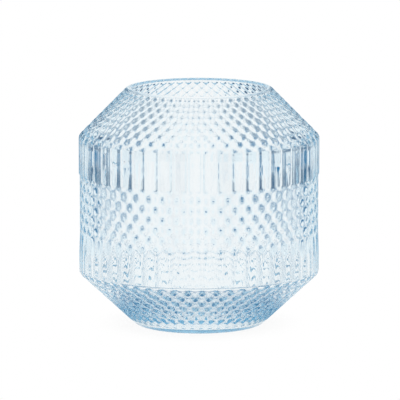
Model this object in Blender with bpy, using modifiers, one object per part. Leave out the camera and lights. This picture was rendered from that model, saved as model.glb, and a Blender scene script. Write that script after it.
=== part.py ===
"""Squat pressed-glass vase: a round belly between two cones, standing on a small flat foot.

Run it with: blender --background --python part.py
Metres, +Z up. The origin is the centre of the foot's underside, where it meets the table.

The glass is one moulded piece. It is modelled as the seven zones that the mould gives it, from the
foot up, and each zone is a closed solid: foot disc, diamond-cut base cone, lower flutes, diamond band,
upper flutes, diamond-cut shoulder cone and plain rim lip.
"""

import math

import bmesh
import bpy

# Outline, measured over the crests of the relief
BELLY_RADIUS = 0.0750
FOOT_RADIUS = 0.0400
MOUTH_RADIUS = 0.0450

# Heights of the zones, from the foot up
FOOT_HEIGHT = 0.0047
BASE_CONE_HEIGHT = 0.0280
LOWER_FLUTE_HEIGHT = 0.0243
DIAMOND_BAND_HEIGHT = 0.0382
UPPER_FLUTE_HEIGHT = 0.0230
SHOULDER_HEIGHT = 0.0281
RIM_HEIGHT = 0.0022

# Glass thickness
BELLY_WALL = 0.0036
RIM_WIDTH = 0.0034

# Inside of the base: a cone that starts a little above the belly's low edge and ends at a round floor
BOWL_LIFT = 0.0010
FLOOR_RADIUS = 0.0370

# Relief of the pattern
FLUTE_COUNT = 52
BASE_CONE_ROWS = 4
DIAMOND_BAND_ROWS = 3
SHOULDER_ROWS = 4
DIAMOND_RELIEF = 0.0013
FLUTE_RELIEF = 0.0013
GROOVE_HALF_WIDTH = 0.0011

# Rounding of the two plain edges, and the dished underside
FOOT_EDGE_RADIUS = 0.0015
LIP_EDGE_RADIUS = 0.0012
STANDING_RING_WIDTH = 0.0070
UNDERSIDE_RECESS = 0.0010
EDGE_STEPS = 3

# Gap that parts two neighbouring zones
SEAM_GAP = 0.0003

# Corners of the outline
FOOT_TOP = FOOT_HEIGHT
BELLY_LOW = FOOT_TOP + BASE_CONE_HEIGHT
BAND_LOW = BELLY_LOW + LOWER_FLUTE_HEIGHT
BAND_HIGH = BAND_LOW + DIAMOND_BAND_HEIGHT
BELLY_HIGH = BAND_HIGH + UPPER_FLUTE_HEIGHT
RIM_LOW = BELLY_HIGH + SHOULDER_HEIGHT
TOP = RIM_LOW + RIM_HEIGHT

OUTER_CORNERS = [
    (FOOT_RADIUS, 0.0),
    (BELLY_RADIUS, BELLY_LOW),
    (BELLY_RADIUS, BELLY_HIGH),
    (MOUTH_RADIUS, TOP),
]

BELLY_INSIDE = BELLY_RADIUS - BELLY_WALL
INNER_CORNERS = [
    (FLOOR_RADIUS, FOOT_TOP),
    (BELLY_INSIDE, BELLY_LOW + BOWL_LIFT),
    (BELLY_INSIDE, BELLY_HIGH),
    (MOUTH_RADIUS - RIM_WIDTH, TOP),
]

BASE_GLASS = (0.46, 0.72, 0.90)
FLUTE_GLASS = (0.66, 0.84, 0.95)
BAND_GLASS = (0.70, 0.86, 0.95)
LIP_GLASS = (0.58, 0.79, 0.93)


def radius_on(corners, height):
    """Radius at a height, on the straight runs between (radius, height) corners."""
    for (low_radius, low), (high_radius, high) in zip(corners, corners[1:]):
        if height <= high:
            break
    share = (height - low) / (high - low)
    return low_radius + share * (high_radius - low_radius)


def inner_wall(low, high):
    """Inside of one zone as (radius, height) points, bottom to top, with the bends that lie in it."""
    bends = [corner for corner in INNER_CORNERS if low < corner[1] < high]
    ends = [(radius_on(INNER_CORNERS, height), height) for height in (low, high)]
    return [ends[0], *bends, ends[1]]


def row_heights(low, high, rows):
    """Heights of the lines between rows. Each row is as tall, for its radius, as every other."""
    low_radius = radius_on(OUTER_CORNERS, low)
    high_radius = radius_on(OUTER_CORNERS, high)
    growth = high_radius / low_radius
    if math.isclose(growth, 1.0):
        return [low + (high - low) * row / rows for row in range(rows + 1)]
    shares = [(growth ** (row / rows) - 1.0) / (growth - 1.0) for row in range(rows + 1)]
    return [low + (high - low) * share for share in shares]


def rounded(before, corner, after, radius):
    """Points of an arc that rounds a corner of a profile, from the side of before to that of after."""
    towards = [math.atan2(end[1] - corner[1], end[0] - corner[0]) for end in (before, after)]
    turn = (towards[1] - towards[0] + math.pi) % math.tau - math.pi
    reach = radius / math.sin(abs(turn) / 2.0)
    middle = towards[0] + turn / 2.0
    centre = (corner[0] + reach * math.cos(middle), corner[1] + reach * math.sin(middle))
    sweep = math.copysign(math.pi - abs(turn), -turn)
    first = towards[0] - math.copysign(math.pi / 2.0, turn)
    points = []
    for step in range(EDGE_STEPS + 1):
        angle = first + sweep * step / EDGE_STEPS
        points.append((centre[0] + radius * math.cos(angle), centre[1] + radius * math.sin(angle)))
    return points


def glass(name, colour):
    """Pale blue glass for one zone."""
    material = bpy.data.materials.new(name + "_glass")
    material.use_nodes = True
    shader = material.node_tree.nodes["Principled BSDF"]
    shader.inputs["Base Color"].default_value = (*colour, 1.0)
    shader.inputs["Roughness"].default_value = 0.03
    shader.inputs["Metallic"].default_value = 0.0
    shader.inputs["IOR"].default_value = 1.5
    shader.inputs["Transmission Weight"].default_value = 1.0
    return material


def turned(name, profile, closed, colour):
    """A solid turned about Z from a (radius, height) profile, with one facet to each flute."""
    guide = bpy.data.meshes.new(name + "_profile")
    points = [(radius, 0.0, height) for radius, height in profile]
    edges = [(point, point + 1) for point in range(len(points) - 1)]
    if closed:
        edges.append((len(points) - 1, 0))
    guide.from_pydata(points, edges, [])
    body = bpy.data.objects.new(name, guide)
    PARTS.objects.link(body)
    screw = body.modifiers.new("turn", "SCREW")
    screw.axis = "Z"
    screw.angle = math.tau
    screw.steps = FLUTE_COUNT
    screw.render_steps = FLUTE_COUNT
    screw.use_merge_vertices = True
    screw.merge_threshold = 0.00001
    graph = bpy.context.evaluated_depsgraph_get()
    body.data = bpy.data.meshes.new_from_object(body.evaluated_get(graph))
    body.data.name = name
    body.modifiers.clear()
    bpy.data.meshes.remove(guide)
    body.data.materials.clear()
    body.data.materials.append(glass(name, colour))
    return body


def outer_faces(mesh):
    """The faces of a turned ring that look away from the axis."""
    found = []
    for face in mesh.faces:
        centre = face.calc_center_median()
        radial = (face.normal.x * centre.x + face.normal.y * centre.y) / math.hypot(centre.x, centre.y)
        if radial > 0.5:
            found.append(face)
    return found


def cut_diamonds(body):
    """Turns the facets of a ring's outside into staggered diamonds, each raised to a point."""
    mesh = bmesh.new()
    mesh.from_mesh(body.data)
    mesh.normal_update()
    facets = outer_faces(mesh)
    grid_lines = {edge for face in facets for edge in face.edges}
    halves = set(bmesh.ops.poke(mesh, faces=facets)["faces"])
    shared = [line for line in grid_lines if all(face in halves for face in line.link_faces)]
    bmesh.ops.dissolve_edges(mesh, edges=shared, use_verts=False)
    mesh.normal_update()
    bmesh.ops.poke(mesh, faces=outer_faces(mesh), offset=DIAMOND_RELIEF)
    mesh.to_mesh(body.data)
    mesh.free()


def cut_flutes(body):
    """Raises each facet of a ring's outside as one flat flute, with a V groove to its neighbours."""
    mesh = bmesh.new()
    mesh.from_mesh(body.data)
    mesh.normal_update()
    bmesh.ops.inset_individual(
        mesh, faces=outer_faces(mesh), thickness=GROOVE_HALF_WIDTH, depth=FLUTE_RELIEF, use_even_offset=True
    )
    mesh.to_mesh(body.data)
    mesh.free()


def ring_profile(heights, relief):
    """Closed profile of one ring-shaped zone: down the floor of its pattern, then up its smooth inside."""
    low = heights[0] + SEAM_GAP / 2.0
    high = heights[-1] - SEAM_GAP / 2.0
    levels = [low, *heights[1:-1], high]
    rise = radius_on(OUTER_CORNERS, high) - radius_on(OUTER_CORNERS, low)
    inset = relief * math.hypot(1.0, rise / (high - low))
    outside = [(radius_on(OUTER_CORNERS, height) - inset, height) for height in reversed(levels)]
    return outside + inner_wall(low, high)


def diamond_zone(name, low, high, rows, colour):
    """A ring whose outside is cut with diamonds."""
    heights = row_heights(low, high, rows)
    body = turned(name, ring_profile(heights, DIAMOND_RELIEF), True, colour)
    cut_diamonds(body)


def fluted_zone(name, low, high, colour):
    """A ring whose outside is cut with upright flutes."""
    body = turned(name, ring_profile([low, high], FLUTE_RELIEF), True, colour)
    cut_flutes(body)


def foot_disc():
    """Plain disc under the vase. Its dished underside leaves a flat ring to stand on."""
    top = FOOT_TOP - SEAM_GAP / 2.0
    shoulder = (radius_on(OUTER_CORNERS, top), top)
    ring_inside = (FOOT_RADIUS - STANDING_RING_WIDTH, 0.0)
    edge = rounded(shoulder, (FOOT_RADIUS, 0.0), ring_inside, FOOT_EDGE_RADIUS)
    dish_edge = (ring_inside[0] - UNDERSIDE_RECESS, UNDERSIDE_RECESS)
    profile = [(0.0, top), shoulder, *edge, ring_inside, dish_edge, (0.0, UNDERSIDE_RECESS)]
    turned("foot_disc", profile, False, BASE_GLASS)


def rim_lip():
    """Plain lip round the mouth, with both of its edges rounded."""
    low = RIM_LOW + SEAM_GAP / 2.0
    foot_outside = (radius_on(OUTER_CORNERS, low), low)
    foot_inside = (radius_on(INNER_CORNERS, low), low)
    top_outside = (MOUTH_RADIUS, TOP)
    top_inside = (MOUTH_RADIUS - RIM_WIDTH, TOP)
    inner_edge = rounded(foot_inside, top_inside, top_outside, LIP_EDGE_RADIUS)
    outer_edge = rounded(top_inside, top_outside, foot_outside, LIP_EDGE_RADIUS)
    turned("rim_lip", [*inner_edge, *outer_edge, foot_outside, foot_inside], True, LIP_GLASS)


def smooth_round_faces():
    """Shades the turned surfaces smooth and keeps the cut edges crisp."""
    for body in PARTS.objects:
        body.data.shade_smooth()
        body.data.set_sharp_from_angle(angle=math.radians(20.0))


for old in list(bpy.data.objects):
    bpy.data.objects.remove(old)
PARTS = bpy.data.collections.new("pressed_glass_vase")
bpy.context.scene.collection.children.link(PARTS)

foot_disc()
diamond_zone("base_cone", FOOT_TOP, BELLY_LOW, BASE_CONE_ROWS, BASE_GLASS)
fluted_zone("lower_flutes", BELLY_LOW, BAND_LOW, FLUTE_GLASS)
diamond_zone("diamond_band", BAND_LOW, BAND_HIGH, DIAMOND_BAND_ROWS, BAND_GLASS)
fluted_zone("upper_flutes", BAND_HIGH, BELLY_HIGH, FLUTE_GLASS)
diamond_zone("shoulder_cone", BELLY_HIGH, RIM_LOW, SHOULDER_ROWS, BAND_GLASS)
rim_lip()
smooth_round_faces()
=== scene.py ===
"""Looks of the squat pressed-glass vase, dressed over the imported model.

The glass is one moulded piece, so it is shown as one closed mesh that stands for all of the
model's zones. A half outline with a lattice row for every point is worked out here, and a
Geometry Nodes tree turns it round the axis and presses the flutes and hollows into it.
"""

import math

import bpy
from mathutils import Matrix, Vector


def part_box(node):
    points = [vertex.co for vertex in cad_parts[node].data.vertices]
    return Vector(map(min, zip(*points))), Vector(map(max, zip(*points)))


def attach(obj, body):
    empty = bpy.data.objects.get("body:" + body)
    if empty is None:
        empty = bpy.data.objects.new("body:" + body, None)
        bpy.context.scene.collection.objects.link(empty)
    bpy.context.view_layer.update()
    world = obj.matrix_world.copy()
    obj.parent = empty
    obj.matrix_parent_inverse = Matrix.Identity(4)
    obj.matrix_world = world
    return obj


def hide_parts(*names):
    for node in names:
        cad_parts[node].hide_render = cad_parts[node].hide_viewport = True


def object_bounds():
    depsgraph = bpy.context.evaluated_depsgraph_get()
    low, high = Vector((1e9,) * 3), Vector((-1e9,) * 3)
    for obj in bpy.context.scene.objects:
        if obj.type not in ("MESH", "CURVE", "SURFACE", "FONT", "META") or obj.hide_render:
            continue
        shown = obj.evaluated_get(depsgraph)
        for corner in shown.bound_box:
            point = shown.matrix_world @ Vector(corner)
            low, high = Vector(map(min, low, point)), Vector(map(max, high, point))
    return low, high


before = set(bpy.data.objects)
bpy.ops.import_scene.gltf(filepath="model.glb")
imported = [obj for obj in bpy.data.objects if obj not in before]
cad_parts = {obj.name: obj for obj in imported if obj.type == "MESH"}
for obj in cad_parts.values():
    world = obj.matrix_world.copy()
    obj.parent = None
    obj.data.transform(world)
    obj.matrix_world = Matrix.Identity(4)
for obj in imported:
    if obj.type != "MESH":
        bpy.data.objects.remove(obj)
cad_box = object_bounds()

# Zones of the glass, from the foot up, as the model names them
FOOT = "foot_disc"
BASE = "base_cone"
LOWER_FLUTES = "lower_flutes"
BAND = "diamond_band"
UPPER_FLUTES = "upper_flutes"
SHOULDER = "shoulder_cone"
RIM = "rim_lip"
ZONES = [FOOT, BASE, LOWER_FLUTES, BAND, UPPER_FLUTES, SHOULDER, RIM]


def level_between(lower_zone, upper_zone):
    """Height of the line where two neighbouring zones meet."""
    top_of_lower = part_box(lower_zone)[1].z
    foot_of_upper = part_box(upper_zone)[0].z
    return (top_of_lower + foot_of_upper) / 2


# Sizes in metres, from the model where it gives them
FOOT_TOP = level_between(FOOT, BASE)
BELLY_LOW = level_between(BASE, LOWER_FLUTES)
BAND_LOW = level_between(LOWER_FLUTES, BAND)
BAND_HIGH = level_between(BAND, UPPER_FLUTES)
BELLY_HIGH = level_between(UPPER_FLUTES, SHOULDER)
RIM_LOW = level_between(SHOULDER, RIM)
TOP = cad_box[1].z
BELLY_RADIUS = cad_box[1].x
FOOT_RADIUS = 0.0400
MOUTH_RADIUS = 0.0450
RIM_WIDTH = 0.0034
BELLY_WALL = 0.0036
FLOOR_RADIUS = 0.0370
FLOOR_HEIGHT = FOOT_TOP
BOWL_LIFT = 0.0010
STANDING_RING_WIDTH = 0.0070
UNDERSIDE_RECESS = 0.0010

# How far from a corner its rounding starts, in metres
FOOT_EASE = 0.0020
BELLY_EASE = 0.0014
LIP_EASE = 0.0016
RECESS_EASE = 0.00135
SHOULDER_INSIDE_EASE = 0.0060
BOWL_EASE = 0.0012
FLOOR_EASE = 0.0050

# Stations over each rounding, and those on the plain stretches of the outline
EASE_STEPS = 4
RECESS_STEPS = 2
UNDERSIDE_STEPS = 2
UNDERSIDE_FIRST_RING = 0.0080
PLAIN_FOOT_HEIGHT = 2 * FOOT_EASE
SHOULDER_INSIDE_SPAN = (0.2, 0.7)
SHOULDER_INSIDE_STEPS = 3

# The moulded pattern: one groove to each flute, and rows of hollows that follow the same lattice
FLUTES = 52
BASE_ROWS = 4
BAND_ROWS = 3
SHOULDER_ROWS = 4
STEPS_PER_HALF_DIAMOND = 5
PATTERN_FADE = 0.0012
BAND_INSET = 0.0005
CRISP_ANGLE = math.radians(45.0)
SEAM_MERGE = 0.000002

# Relief of each zone: depth of its grooves and of its hollows in metres, how far a hollow reaches round
# and up as shares of a flute and of a row, and its lean, which is negative where it is deepest low down
PLAIN = (0.0, 0.0, 0.3, 0.3, 0.0)
BASE_RELIEF = (0.0, 0.0015, 0.39, 0.34, -0.9)
FLUTE_RELIEF = (0.0005, 0.0, 0.30, 0.30, 0.0)
BAND_RELIEF = (0.0, 0.0009, 0.39, 0.33, 0.0)
SHOULDER_RELIEF = (0.0, 0.0010, 0.43, 0.41, 0.0)

# Powers: how sharp a groove is, how soft a hollow's edge is, and how fast hollows get shallower towards
# the narrow end of a cone
GROOVE_SHARPNESS = 6.0
HOLLOW_EDGE = 1.3
HOLLOW_SHRINK = 1.3

# The glass: clear, with a blue tint that grows with its thickness
CLEAR = (1.0, 1.0, 1.0, 1.0)
GLASS_IOR = 1.5
GLASS_TINT = (0.34, 0.74, 0.91, 1.0)
GLASS_TINT_DENSITY = 15.0

# Finish of the glass: faint ripples of the mould, a trace of haze, and a standing ring scuffed by tables
RIPPLES_PER_METRE = 90.0
RIPPLE_DETAIL = 1.0
RIPPLE_DEPTH = 0.00003
HAZE_PER_METRE = 14.0
HAZE_DETAIL = 3.0
HAZE = 0.04
SCUFFS_PER_METRE = 400.0
SCUFF_DETAIL = 4.0
WORN_ROUGHNESS = 0.6
WORN_HEIGHT = (0.0002, 0.0008)

# Tent round the vase, which only the glass sees. Angles are counted from the nearest quarter turn, and
# each pair gives where a change of colour starts and ends. A low gap draws the lines in the flutes, and
# a wider, darker gap above it draws the dots on the shoulder
TENT_RADIUS = 0.30
TENT_HEIGHT = 0.90
SIDE_START = (math.radians(3.0), math.radians(11.0))
GAP_START = (math.radians(16.0), math.radians(17.5))
GAP_END = (math.radians(26.0), math.radians(28.0))
GAP_LOW = (-0.02, 0.02)
GAP_HIGH = (0.09, 0.12)
DEEP_START = (math.radians(13.0), math.radians(14.5))
DEEP_END = (math.radians(33.0), math.radians(36.0))
DEEP_LOW = (0.09, 0.12)
DEEP_HIGH = (0.26, 0.30)
TENT_COLOUR = (0.95, 0.955, 0.955, 1.0)
SIDE_COLOUR = (0.84, 0.92, 0.955, 1.0)
GAP_COLOUR = (0.0, 0.165, 0.36, 1.0)
DEEP_COLOUR = (0.0, 0.085, 0.20, 1.0)

# White room and table. Only the glass sees the ring of shade on the table, which draws the base's ovals
BACKDROP_COLOUR = (1.0, 1.0, 1.0, 1.0)
STAGE_SEGMENTS = 128
TABLE_RADIUS = 0.22
TABLE_DROP = -0.0002
TABLE_COLOUR = (0.95, 0.95, 0.95, 1.0)
TABLE_ROUGHNESS = 0.9
TABLE_GLOW = 0.92
SHADOW_FADE = (0.038, 0.070)
SHADE_START = (0.0425, 0.0475)
SHADE_END = (0.056, 0.070)
SHADE_COLOUR = (0.04, 0.20, 0.38, 1.0)

# Light that is caught in the glass crosses it many times
LIGHT_BOUNCES = 32

# Camera
CAMERA_DISTANCE = 2.517
CAMERA_RISE = math.radians(9.34)
CAMERA_TURN = math.radians(-1.55)
CAMERA_LENS = 362.8
CAMERA_REACH = 50.0
AIM_HEIGHT = 0.07735
AIM_RIGHT = 0.0006


# Outline of the glass

def station(radius, height, row=0.0, relief=PLAIN):
    """One point of the outline: its place, its row on the lattice and the relief there."""
    return {"place": Vector((radius, height)), "row": row, "relief": relief}


def straight(start, end, steps):
    """Even plain stations from start to end, without the last one."""
    places = [Vector(start).lerp(Vector(end), step / steps) for step in range(steps)]
    return [station(place.x, place.y) for place in places]


def approach(start, corner, reach, steps=EASE_STEPS):
    """Stations over the last stretch before a corner, close enough together to round it."""
    first = Vector(corner) + (Vector(start) - Vector(corner)).normalized() * reach
    return straight(first, corner, steps)


def leave(corner, end, reach, steps=EASE_STEPS):
    """Stations from a corner over the stretch after it, close enough together to round it."""
    last = Vector(corner) + (Vector(end) - Vector(corner)).normalized() * reach
    return straight(corner, last, steps) + [station(last.x, last.y)]


def patterned(low, high, rows, first_row, relief):
    """Stations up a zone of hollows; on a cone the rows shrink with the radius, as the flutes do."""
    groove, hollow, *rest = relief
    steps = rows * 2 * STEPS_PER_HALF_DIAMOND
    made = []
    for step in range(steps):
        along = step / steps
        if low[0] == high[0]:
            share = along
        else:
            radius = low[0] * (high[0] / low[0]) ** along
            share = (radius - low[0]) / (high[0] - low[0])
        place = Vector(low).lerp(Vector(high), share)
        shallower = hollow * (place.x / BELLY_RADIUS) ** HOLLOW_SHRINK
        made.append(station(place.x, place.y, first_row + rows * along, (groove, shallower, *rest)))
    return made


def fluted(low, top, row, ease_low, ease_high):
    """Stations up a zone of flutes, which keep one lattice row all the way."""
    radius, bottom = low
    heights = [bottom]
    for step in range(1, EASE_STEPS + 1):
        heights.append(bottom + ease_low * step / EASE_STEPS)
    heights.append((bottom + top) / 2)
    for step in range(EASE_STEPS):
        heights.append(top - ease_high * (1 - step / EASE_STEPS))
    kept = sorted(set(height for height in heights if height < top))
    return [station(radius, height, row, FLUTE_RELIEF) for height in kept]


def ease_corner(stations, corner, reach):
    """Bends the stations that lie within reach of a corner onto a smooth curve round it."""
    corner = Vector(corner)
    middle = min(range(len(stations)), key=lambda index: (stations[index]["place"] - corner).length)
    before = stations[middle - 1]["place"]
    after = stations[middle + 1]["place"]
    start = corner + (before - corner).normalized() * reach
    end = corner + (after - corner).normalized() * reach

    # Stations across the wall may be near the corner too, but they are far along the outline
    same_stretch = len(stations) // 4
    for index, one in enumerate(stations):
        gap = (one["place"] - corner).length
        if gap < reach and abs(index - middle) < same_stretch:
            side = -1 if index < middle else 1
            along = 0.5 + 0.5 * side * gap / reach
            first = start.lerp(corner, along)
            second = corner.lerp(end, along)
            one["place"] = first.lerp(second, along)


def glass_outline():
    """Half outline of the glass: underside, outer wall, rim and inner wall, down to the floor's centre."""
    ring_in = (FOOT_RADIUS - STANDING_RING_WIDTH, 0.0)
    recess_edge = (ring_in[0] - UNDERSIDE_RECESS, UNDERSIDE_RECESS)
    foot = (FOOT_RADIUS, 0.0)
    belly_low = (BELLY_RADIUS, BELLY_LOW)
    belly_high = (BELLY_RADIUS, BELLY_HIGH)
    lip_out = (MOUTH_RADIUS, TOP)
    lip_in = (MOUTH_RADIUS - RIM_WIDTH, TOP)
    inner_high = Vector((BELLY_RADIUS - BELLY_WALL, BELLY_HIGH))
    bowl_edge = Vector((BELLY_RADIUS - BELLY_WALL, BELLY_LOW + BOWL_LIFT))
    floor_edge = Vector((FLOOR_RADIUS, FLOOR_HEIGHT))
    floor_centre = Vector((0.0, FLOOR_HEIGHT))
    band_row = BASE_ROWS
    shoulder_row = BASE_ROWS + BAND_ROWS
    top_row = shoulder_row + SHOULDER_ROWS

    def on_base(height):
        return Vector(foot).lerp(Vector(belly_low), height / BELLY_LOW)

    def on_shoulder(height):
        return Vector(belly_high).lerp(Vector(lip_out), (height - BELLY_HIGH) / (TOP - BELLY_HIGH))

    # Underside and foot
    stations = [station(0.0, UNDERSIDE_RECESS)]
    stations += straight((UNDERSIDE_FIRST_RING, UNDERSIDE_RECESS), recess_edge, UNDERSIDE_STEPS)
    stations += approach((0.0, UNDERSIDE_RECESS), recess_edge, RECESS_EASE, RECESS_STEPS)
    stations += straight(recess_edge, ring_in, RECESS_STEPS)
    stations += leave(ring_in, foot, RECESS_EASE, RECESS_STEPS)
    stations += approach(ring_in, foot, FOOT_EASE)
    stations += leave(foot, belly_low, FOOT_EASE)

    # Outer wall
    fade_low = on_base(FOOT_TOP - PATTERN_FADE)
    stations += straight(on_base(PLAIN_FOOT_HEIGHT), fade_low, 1)
    stations += [station(fade_low.x, fade_low.y)]
    stations += patterned(on_base(FOOT_TOP), belly_low, BASE_ROWS, 0, BASE_RELIEF)
    stations += fluted(belly_low, BAND_LOW, band_row, BELLY_EASE, 0.0)
    band_low = (BELLY_RADIUS - BAND_INSET, BAND_LOW)
    band_high = (BELLY_RADIUS - BAND_INSET, BAND_HIGH)
    stations += patterned(band_low, band_high, BAND_ROWS, band_row, BAND_RELIEF)
    stations += fluted((BELLY_RADIUS, BAND_HIGH), BELLY_HIGH, shoulder_row, 0.0, BELLY_EASE)
    rim_low = on_shoulder(RIM_LOW)
    stations += patterned(belly_high, rim_low, SHOULDER_ROWS, shoulder_row, SHOULDER_RELIEF)
    stations += [station(rim_low.x, rim_low.y, top_row, SHOULDER_RELIEF)]

    # Rim
    stations += approach(belly_high, lip_out, LIP_EASE)
    stations += leave(lip_out, lip_in, LIP_EASE)
    stations += approach(lip_out, lip_in, LIP_EASE)
    stations += leave(lip_in, inner_high, LIP_EASE)

    # Inner wall and floor
    span = [Vector(lip_in).lerp(inner_high, share) for share in SHOULDER_INSIDE_SPAN]
    stations += straight(*span, SHOULDER_INSIDE_STEPS)
    stations += approach(lip_in, inner_high, SHOULDER_INSIDE_EASE)
    stations += leave(inner_high, bowl_edge, SHOULDER_INSIDE_EASE)
    stations += approach(inner_high, bowl_edge, BOWL_EASE)
    stations += leave(bowl_edge, floor_edge, BOWL_EASE)
    stations += approach(bowl_edge, floor_edge, FLOOR_EASE)
    stations += leave(floor_edge, floor_centre, FLOOR_EASE)
    stations += [station(0.0, FLOOR_HEIGHT)]

    corners = [
        (recess_edge, RECESS_EASE),
        (ring_in, RECESS_EASE),
        (foot, FOOT_EASE),
        (belly_low, BELLY_EASE),
        (belly_high, BELLY_EASE),
        (lip_out, LIP_EASE),
        (lip_in, LIP_EASE),
        (inner_high, SHOULDER_INSIDE_EASE),
        (bowl_edge, BOWL_EASE),
        (floor_edge, FLOOR_EASE),
    ]
    for corner, reach in corners:
        ease_corner(stations, corner, reach)
    return stations


def outline_mesh(stations):
    """The outline as a chain of edges whose points carry their lattice row, relief and outward direction."""
    places = [one["place"] for one in stations]
    facing = []
    for index in range(len(places)):
        before = places[max(index - 1, 0)]
        after = places[min(index + 1, len(places) - 1)]
        along = (after - before).normalized()
        facing += [along.y, 0.0, -along.x]
    mesh = bpy.data.meshes.new("glass_outline")
    points = [(place.x, 0.0, place.y) for place in places]
    chain = [(index, index + 1) for index in range(len(points) - 1)]
    mesh.from_pydata(points, chain, [])
    numbers = {"row": [one["row"] for one in stations]}
    for index, name in enumerate(["groove", "hollow", "reach_round", "reach_up", "lean"]):
        numbers[name] = [one["relief"][index] for one in stations]
    for name, values in numbers.items():
        mesh.attributes.new(name, "FLOAT", "POINT").data.foreach_set("value", values)
    mesh.attributes.new("outward", "FLOAT_VECTOR", "POINT").data.foreach_set("vector", facing)
    return mesh


# Nodes of any tree

def add_node(tree, kind, **settings):
    """A new node with its settings."""
    node = tree.nodes.new(kind)
    for name, value in settings.items():
        setattr(node, name, value)
    return node


def feed(tree, socket, source):
    """Links a socket to another node's output, or gives it a plain value."""
    if isinstance(source, bpy.types.NodeSocket):
        tree.links.new(source, socket)
    else:
        socket.default_value = source


def math_node(tree, operation, *sources):
    """Output of a Math node fed with sockets or numbers."""
    node = add_node(tree, "ShaderNodeMath", operation=operation)
    for index, source in enumerate(sources):
        feed(tree, node.inputs[index], source)
    return node.outputs[0]


def smooth_step(tree, source, low, high):
    """Output that rises smoothly from 0 to 1 as the source goes from low to high."""
    node = add_node(tree, "ShaderNodeMapRange", interpolation_type="SMOOTHSTEP")
    feed(tree, node.inputs["Value"], source)
    node.inputs["From Min"].default_value = low
    node.inputs["From Max"].default_value = high
    return node.outputs["Result"]


def between(tree, source, rise, fall):
    """Output that goes smoothly from 0 to 1 over the rise, and back to 0 over the fall."""
    return math_node(tree, "SUBTRACT", smooth_step(tree, source, *rise), smooth_step(tree, source, *fall))


def mixed_colour(tree, share, first, second):
    """Output of a node that mixes two colours."""
    node = add_node(tree, "ShaderNodeMix", data_type="RGBA")
    sockets = {socket.identifier: socket for socket in node.inputs}
    feed(tree, sockets["Factor_Float"], share)
    feed(tree, sockets["A_Color"], first)
    feed(tree, sockets["B_Color"], second)
    return next(socket for socket in node.outputs if socket.identifier == "Result_Color")


# Geometry Nodes that press the glass

def named(tree, name, kind="FLOAT"):
    """Output of a Named Attribute node."""
    node = add_node(tree, "GeometryNodeInputNamedAttribute", data_type=kind)
    node.inputs["Name"].default_value = name
    return node.outputs["Attribute"]


def position(tree):
    """Output of the points' places."""
    return add_node(tree, "GeometryNodeInputPosition").outputs["Position"]


def stored(tree, geometry, name, kind, value):
    """Geometry whose points keep a value under a name."""
    node = add_node(tree, "GeometryNodeStoreNamedAttribute", data_type=kind, domain="POINT")
    node.inputs["Name"].default_value = name
    feed(tree, node.inputs["Geometry"], geometry)
    feed(tree, node.inputs["Value"], value)
    return node.outputs["Geometry"]


def swept_outline(tree, outline, flutes, columns):
    """The outline swept once round the axis. Its points keep their own places and their count of flutes."""
    chain = add_node(tree, "GeometryNodeMeshToCurve")
    feed(tree, chain.inputs["Mesh"], outline)
    profile = stored(tree, chain.outputs["Curve"], "spot", "FLOAT_VECTOR", position(tree))
    ring = add_node(tree, "GeometryNodeCurvePrimitiveCircle", mode="RADIUS")
    feed(tree, ring.inputs["Resolution"], math_node(tree, "MULTIPLY", flutes, columns))
    column = add_node(tree, "GeometryNodeInputIndex").outputs["Index"]
    turn = stored(tree, ring.outputs["Curve"], "flute", "FLOAT", math_node(tree, "DIVIDE", column, columns))
    sweep = add_node(tree, "GeometryNodeCurveToMesh")
    feed(tree, sweep.inputs["Curve"], turn)
    feed(tree, sweep.inputs["Profile Curve"], profile)
    return sweep.outputs["Mesh"]


def groove_depth(tree, flute, sharpness):
    """Depth of the upright grooves that part the flutes."""
    off_groove = math_node(tree, "PINGPONG", flute, 0.5)
    share = math_node(tree, "SUBTRACT", 1.0, math_node(tree, "MULTIPLY", off_groove, 2.0))
    shape = math_node(tree, "POWER", share, sharpness)
    return math_node(tree, "MULTIPLY", shape, named(tree, "groove"))


def hollow_depth(tree, flute, row, edge):
    """Depth of the hollows, which lie where flute minus row and flute plus row are both whole.

    Every second row is therefore shifted by half a flute.
    """
    past_crossing = []
    for operation in ("SUBTRACT", "ADD"):
        line = math_node(tree, operation, flute, row)
        past_crossing.append(math_node(tree, "SUBTRACT", line, math_node(tree, "ROUND", line)))

    # The two shares are doubled, and the second one counts downwards
    twice_round = math_node(tree, "ADD", *past_crossing)
    twice_down = math_node(tree, "SUBTRACT", *past_crossing)
    round_share = math_node(tree, "DIVIDE", twice_round, named(tree, "reach_round"))
    down_share = math_node(tree, "DIVIDE", twice_down, named(tree, "reach_up"))
    squares = []
    for share in (round_share, down_share):
        squares.append(math_node(tree, "POWER", math_node(tree, "ABSOLUTE", share), 2.0))
    four_squares = math_node(tree, "ADD", *squares)
    left = math_node(tree, "SUBTRACT", 1.0, math_node(tree, "MULTIPLY", four_squares, 1.0 / 4.0))
    bowl = math_node(tree, "POWER", math_node(tree, "MAXIMUM", left, 0.0), edge)
    up_share = math_node(tree, "MULTIPLY", down_share, -1.0 / 2.0)
    leaning = math_node(tree, "MULTIPLY_ADD", up_share, named(tree, "lean"), 1.0)
    shape = math_node(tree, "MULTIPLY", bowl, leaning)
    return math_node(tree, "MULTIPLY", shape, named(tree, "hollow"))


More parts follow.
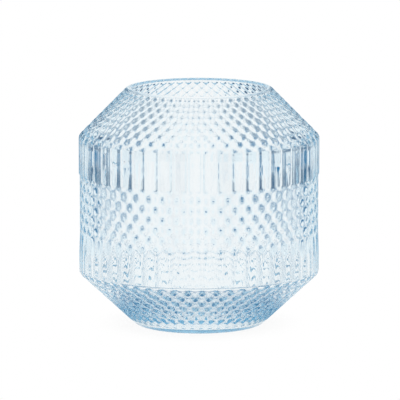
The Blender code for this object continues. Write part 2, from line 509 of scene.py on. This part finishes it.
def pressed_place(tree, depth, flute, flutes):
    """The outline's point, pushed in by the depth and turned to its column."""
    push = add_node(tree, "ShaderNodeVectorMath", operation="SCALE")
    feed(tree, push.inputs[0], named(tree, "outward", "FLOAT_VECTOR"))
    feed(tree, push.inputs["Scale"], math_node(tree, "MULTIPLY", depth, -1.0))
    pressed = add_node(tree, "ShaderNodeVectorMath", operation="ADD")
    feed(tree, pressed.inputs[0], named(tree, "spot", "FLOAT_VECTOR"))
    feed(tree, pressed.inputs[1], push.outputs[0])
    angle = math_node(tree, "DIVIDE", math_node(tree, "MULTIPLY", flute, 2 * math.pi), flutes)
    turned = add_node(tree, "ShaderNodeVectorRotate", rotation_type="Z_AXIS")
    feed(tree, turned.inputs["Vector"], pressed.outputs[0])
    feed(tree, turned.inputs["Angle"], angle)
    return turned.outputs["Vector"]


def split_quads(tree, mesh, row, flutes):
    """Triangles. Quads are split one way or the other by turns, from one quarter of a hollow to the next."""
    place = add_node(tree, "ShaderNodeSeparateXYZ")
    feed(tree, place.inputs[0], position(tree))
    round_angle = math_node(tree, "ARCTAN2", place.outputs["Y"], place.outputs["X"])
    flutes_per_radian = math_node(tree, "DIVIDE", flutes, 2 * math.pi)
    round_flute = math_node(tree, "MULTIPLY", round_angle, flutes_per_radian)
    half_flutes = math_node(tree, "FLOOR", math_node(tree, "MULTIPLY", round_flute, 2.0))
    half_rows = math_node(tree, "FLOOR", math_node(tree, "MULTIPLY", row, 2.0))
    parity = math_node(tree, "FLOORED_MODULO", math_node(tree, "ADD", half_flutes, half_rows), 2.0)
    split_even = add_node(tree, "GeometryNodeTriangulate", quad_method="FIXED")
    feed(tree, split_even.inputs["Mesh"], mesh)
    feed(tree, split_even.inputs["Selection"], math_node(tree, "LESS_THAN", parity, 0.5))
    split_odd = add_node(tree, "GeometryNodeTriangulate", quad_method="FIXED_ALTERNATE")
    feed(tree, split_odd.inputs["Mesh"], split_even.outputs["Mesh"])
    return split_odd.outputs["Mesh"]


def smoothed(tree, mesh, crisp_angle):
    """The mesh with its seam closed and its faces shaded smooth, apart from crisp edges."""
    closed = add_node(tree, "GeometryNodeMergeByDistance")
    feed(tree, closed.inputs["Geometry"], mesh)
    closed.inputs["Distance"].default_value = SEAM_MERGE
    smooth = add_node(tree, "GeometryNodeSetShadeSmooth", domain="FACE")
    feed(tree, smooth.inputs["Geometry"], closed.outputs["Geometry"])
    bend = add_node(tree, "GeometryNodeInputMeshEdgeAngle").outputs["Unsigned Angle"]
    crisp = add_node(tree, "GeometryNodeSetShadeSmooth", domain="EDGE")
    feed(tree, crisp.inputs["Geometry"], smooth.outputs["Geometry"])
    feed(tree, crisp.inputs["Selection"], math_node(tree, "GREATER_THAN", bend, crisp_angle))
    crisp.inputs["Shade Smooth"].default_value = False
    return crisp.outputs["Geometry"]


def pressed_glass_tree():
    """Tree that turns an outline round the axis and presses the grooves and hollows into it."""
    tree = bpy.data.node_groups.new("pressed_glass", "GeometryNodeTree")
    inputs = {
        "Geometry": "NodeSocketGeometry",
        "Flutes": "NodeSocketInt",
        "Columns per flute": "NodeSocketInt",
        "Groove sharpness": "NodeSocketFloat",
        "Hollow edge": "NodeSocketFloat",
        "Crisp angle": "NodeSocketFloat",
        "Glass": "NodeSocketMaterial",
    }
    for name, kind in inputs.items():
        tree.interface.new_socket(name, in_out="INPUT", socket_type=kind)
    tree.interface.new_socket("Geometry", in_out="OUTPUT", socket_type="NodeSocketGeometry")
    given = add_node(tree, "NodeGroupInput").outputs
    result = add_node(tree, "NodeGroupOutput")

    swept = swept_outline(tree, given["Geometry"], given["Flutes"], given["Columns per flute"])
    outside = add_node(tree, "GeometryNodeFlipFaces")
    feed(tree, outside.inputs["Mesh"], swept)
    flute = named(tree, "flute")
    row = named(tree, "row")
    grooves = groove_depth(tree, flute, given["Groove sharpness"])
    hollows = hollow_depth(tree, flute, row, given["Hollow edge"])
    depth = math_node(tree, "ADD", grooves, hollows)
    shaped = add_node(tree, "GeometryNodeSetPosition")
    feed(tree, shaped.inputs["Geometry"], outside.outputs["Mesh"])
    feed(tree, shaped.inputs["Position"], pressed_place(tree, depth, flute, given["Flutes"]))
    split = split_quads(tree, shaped.outputs["Geometry"], row, given["Flutes"])

    realized = add_node(tree, "GeometryNodeRealizeInstances")
    feed(tree, realized.inputs["Geometry"], smoothed(tree, split, given["Crisp angle"]))
    coated = add_node(tree, "GeometryNodeSetMaterial")
    feed(tree, coated.inputs["Geometry"], realized.outputs["Geometry"])
    feed(tree, coated.inputs["Material"], given["Glass"])
    feed(tree, result.inputs["Geometry"], coated.outputs["Geometry"])
    return tree


def grown(name, start_mesh, tree, values):
    """Plain mesh object made by running a tree on a start mesh, with its inputs set by name."""
    start = bpy.data.objects.new(name, start_mesh)
    bpy.context.scene.collection.objects.link(start)
    modifier = start.modifiers.new(tree.name, "NODES")
    modifier.node_group = tree
    for item in tree.interface.items_tree:
        if item.item_type == "SOCKET" and item.in_out == "INPUT" and item.name in values:
            modifier[item.identifier] = values[item.name]
    evaluated = start.evaluated_get(bpy.context.evaluated_depsgraph_get())
    mesh = bpy.data.meshes.new_from_object(evaluated)
    mesh.name = name
    start.modifiers.remove(modifier)
    start.data = mesh
    bpy.data.meshes.remove(start_mesh)
    return start


# Glass

def mottle(tree, place, per_metre, detail):
    """Output of soft patches, from 0 to 1, so many to the metre."""
    node = add_node(tree, "ShaderNodeTexNoise")
    feed(tree, node.inputs["Vector"], place)
    node.inputs["Scale"].default_value = per_metre
    node.inputs["Detail"].default_value = detail
    return node.outputs["Fac"]


def blue_glass():
    """Clear pale blue glass, fire polished, with the faint ripple of pressed glass."""
    material = bpy.data.materials.new("blue_glass")
    material.use_nodes = True
    tree = material.node_tree
    shader = tree.nodes["Principled BSDF"]
    shader.inputs["Base Color"].default_value = CLEAR
    shader.inputs["Transmission Weight"].default_value = 1.0
    shader.inputs["IOR"].default_value = GLASS_IOR
    place = add_node(tree, "ShaderNodeTexCoord").outputs["Object"]

    ripple = add_node(tree, "ShaderNodeBump")
    ripple.inputs["Strength"].default_value = 1.0
    ripple.inputs["Distance"].default_value = RIPPLE_DEPTH
    feed(tree, ripple.inputs["Height"], mottle(tree, place, RIPPLES_PER_METRE, RIPPLE_DETAIL))
    feed(tree, shader.inputs["Normal"], ripple.outputs["Normal"])

    upright = add_node(tree, "ShaderNodeSeparateXYZ")
    feed(tree, upright.inputs[0], place)
    off_table = smooth_step(tree, upright.outputs["Z"], *WORN_HEIGHT)
    near_table = math_node(tree, "SUBTRACT", 1.0, off_table)
    haze = math_node(tree, "MULTIPLY", mottle(tree, place, HAZE_PER_METRE, HAZE_DETAIL), HAZE)
    scuffs = math_node(tree, "MULTIPLY", mottle(tree, place, SCUFFS_PER_METRE, SCUFF_DETAIL), WORN_ROUGHNESS)
    worn = math_node(tree, "MULTIPLY", near_table, scuffs)
    feed(tree, shader.inputs["Roughness"], math_node(tree, "ADD", haze, worn))

    tint = add_node(tree, "ShaderNodeVolumeAbsorption")
    tint.inputs["Color"].default_value = GLASS_TINT
    tint.inputs["Density"].default_value = GLASS_TINT_DENSITY
    feed(tree, tree.nodes["Material Output"].inputs["Volume"], tint.outputs["Volume"])
    return material


# Stage

def seen_from_glass(tree):
    """Output that is 1 for rays that the glass bends or mirrors."""
    path = add_node(tree, "ShaderNodeLightPath")
    return math_node(tree, "MAXIMUM", path.outputs["Is Glossy Ray"], path.outputs["Is Transmission Ray"])


def mixed_shader(tree, share, first, second):
    """Output of a node that mixes two shaders."""
    node = add_node(tree, "ShaderNodeMixShader")
    feed(tree, node.inputs["Fac"], share)
    feed(tree, node.inputs[1], first)
    feed(tree, node.inputs[2], second)
    return node.outputs["Shader"]


def table_paint():
    """Matt white table top that fades into the backdrop. The glass sees a ring of shade in it instead."""
    material = bpy.data.materials.new("white_table")
    material.use_nodes = True
    tree = material.node_tree
    paint = tree.nodes["Principled BSDF"]
    paint.inputs["Base Color"].default_value = TABLE_COLOUR
    paint.inputs["Roughness"].default_value = TABLE_ROUGHNESS
    paint.inputs["Specular IOR Level"].default_value = 0.0
    length = add_node(tree, "ShaderNodeVectorMath", operation="LENGTH")
    feed(tree, length.inputs[0], add_node(tree, "ShaderNodeTexCoord").outputs["Object"])
    reach = length.outputs["Value"]

    past_shadow = smooth_step(tree, reach, *SHADOW_FADE)
    fade = math_node(tree, "MULTIPLY_ADD", past_shadow, 1.0 - TABLE_GLOW, TABLE_GLOW)
    backdrop = add_node(tree, "ShaderNodeEmission")
    backdrop.inputs["Color"].default_value = BACKDROP_COLOUR
    open_table = mixed_shader(tree, fade, paint.outputs["BSDF"], backdrop.outputs["Emission"])

    shade = add_node(tree, "ShaderNodeEmission")
    round_foot = between(tree, reach, SHADE_START, SHADE_END)
    feed(tree, shade.inputs["Color"], mixed_colour(tree, round_foot, TENT_COLOUR, SHADE_COLOUR))
    whole = mixed_shader(tree, seen_from_glass(tree), open_table, shade.outputs["Emission"])
    feed(tree, tree.nodes["Material Output"].inputs["Surface"], whole)
    return material


def make_table():
    """Round table top under the vase."""
    bpy.ops.mesh.primitive_circle_add(vertices=STAGE_SEGMENTS, radius=TABLE_RADIUS, fill_type="NGON")
    table = bpy.context.object
    table.name = "table"
    table.location.z = TABLE_DROP
    table.data.materials.append(table_paint())


def tent_cloth():
    """White cloth with pale blue sides, a cool gap low down in each side and a darker one above it."""
    material = bpy.data.materials.new("tent_cloth")
    material.use_nodes = True
    tree = material.node_tree
    place = add_node(tree, "ShaderNodeSeparateXYZ")
    feed(tree, place.inputs[0], add_node(tree, "ShaderNodeTexCoord").outputs["Object"])
    height = place.outputs["Z"]
    turn = math_node(tree, "ARCTAN2", place.outputs["X"], place.outputs["Y"])
    off_quarter = math_node(tree, "PINGPONG", turn, math.pi / 4)

    sheet = mixed_colour(tree, smooth_step(tree, off_quarter, *SIDE_START), TENT_COLOUR, SIDE_COLOUR)
    gap_round = between(tree, off_quarter, GAP_START, GAP_END)
    gap = math_node(tree, "MULTIPLY", gap_round, between(tree, height, GAP_LOW, GAP_HIGH))
    deep_round = between(tree, off_quarter, DEEP_START, DEEP_END)
    deep = math_node(tree, "MULTIPLY", deep_round, between(tree, height, DEEP_LOW, DEEP_HIGH))
    hung = mixed_colour(tree, gap, sheet, GAP_COLOUR)
    cloth = add_node(tree, "ShaderNodeEmission")
    feed(tree, cloth.inputs["Color"], mixed_colour(tree, deep, hung, DEEP_COLOUR))
    feed(tree, tree.nodes["Material Output"].inputs["Surface"], cloth.outputs["Emission"])
    return material


def make_tent():
    """Round tent that stands about the vase and is seen only through the glass and in its shine."""
    bpy.ops.mesh.primitive_cylinder_add(
        vertices=STAGE_SEGMENTS, radius=TENT_RADIUS, depth=TENT_HEIGHT, end_fill_type="NOTHING")
    tent = bpy.context.object
    tent.name = "tent"
    tent.data.materials.append(tent_cloth())
    tent.visible_camera = False
    tent.visible_diffuse = False
    tent.visible_shadow = False


def light_world():
    """Even white light. The glass sees the tent's colour where it looks past the tent's edges."""
    world = bpy.data.worlds.new("white_room")
    bpy.context.scene.world = world
    world.use_nodes = True
    tree = world.node_tree
    seen = mixed_colour(tree, seen_from_glass(tree), BACKDROP_COLOUR, TENT_COLOUR)
    feed(tree, tree.nodes["Background"].inputs["Color"], seen)


def make_camera():
    """Long lens a little above the vase, as in the photo."""
    camera = bpy.data.objects.new("camera", bpy.data.cameras.new("camera"))
    bpy.context.scene.collection.objects.link(camera)
    camera.data.lens = CAMERA_LENS
    camera.data.clip_end = CAMERA_REACH
    aim = Vector((AIM_RIGHT, 0.0, AIM_HEIGHT))
    back = Vector((math.sin(CAMERA_TURN) * math.cos(CAMERA_RISE),
                   -math.cos(CAMERA_TURN) * math.cos(CAMERA_RISE),
                   math.sin(CAMERA_RISE)))
    camera.location = aim + back * CAMERA_DISTANCE
    camera.rotation_euler = (-back).to_track_quat("-Z", "Y").to_euler()
    bpy.context.scene.camera = camera


bpy.context.scene.view_settings.view_transform = "Standard"
bpy.context.scene.cycles.max_bounces = LIGHT_BOUNCES
bpy.context.scene.cycles.transmission_bounces = LIGHT_BOUNCES
bpy.context.scene.cycles.glossy_bounces = LIGHT_BOUNCES
make_camera()
light_world()
make_tent()
make_table()

glass = grown("vase_glass", outline_mesh(glass_outline()), pressed_glass_tree(), {
    "Flutes": FLUTES,
    "Columns per flute": 2 * STEPS_PER_HALF_DIAMOND,
    "Groove sharpness": GROOVE_SHARPNESS,
    "Hollow edge": HOLLOW_EDGE,
    "Crisp angle": CRISP_ANGLE,
    "Glass": blue_glass(),
})
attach(glass, "root")
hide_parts(*ZONES)
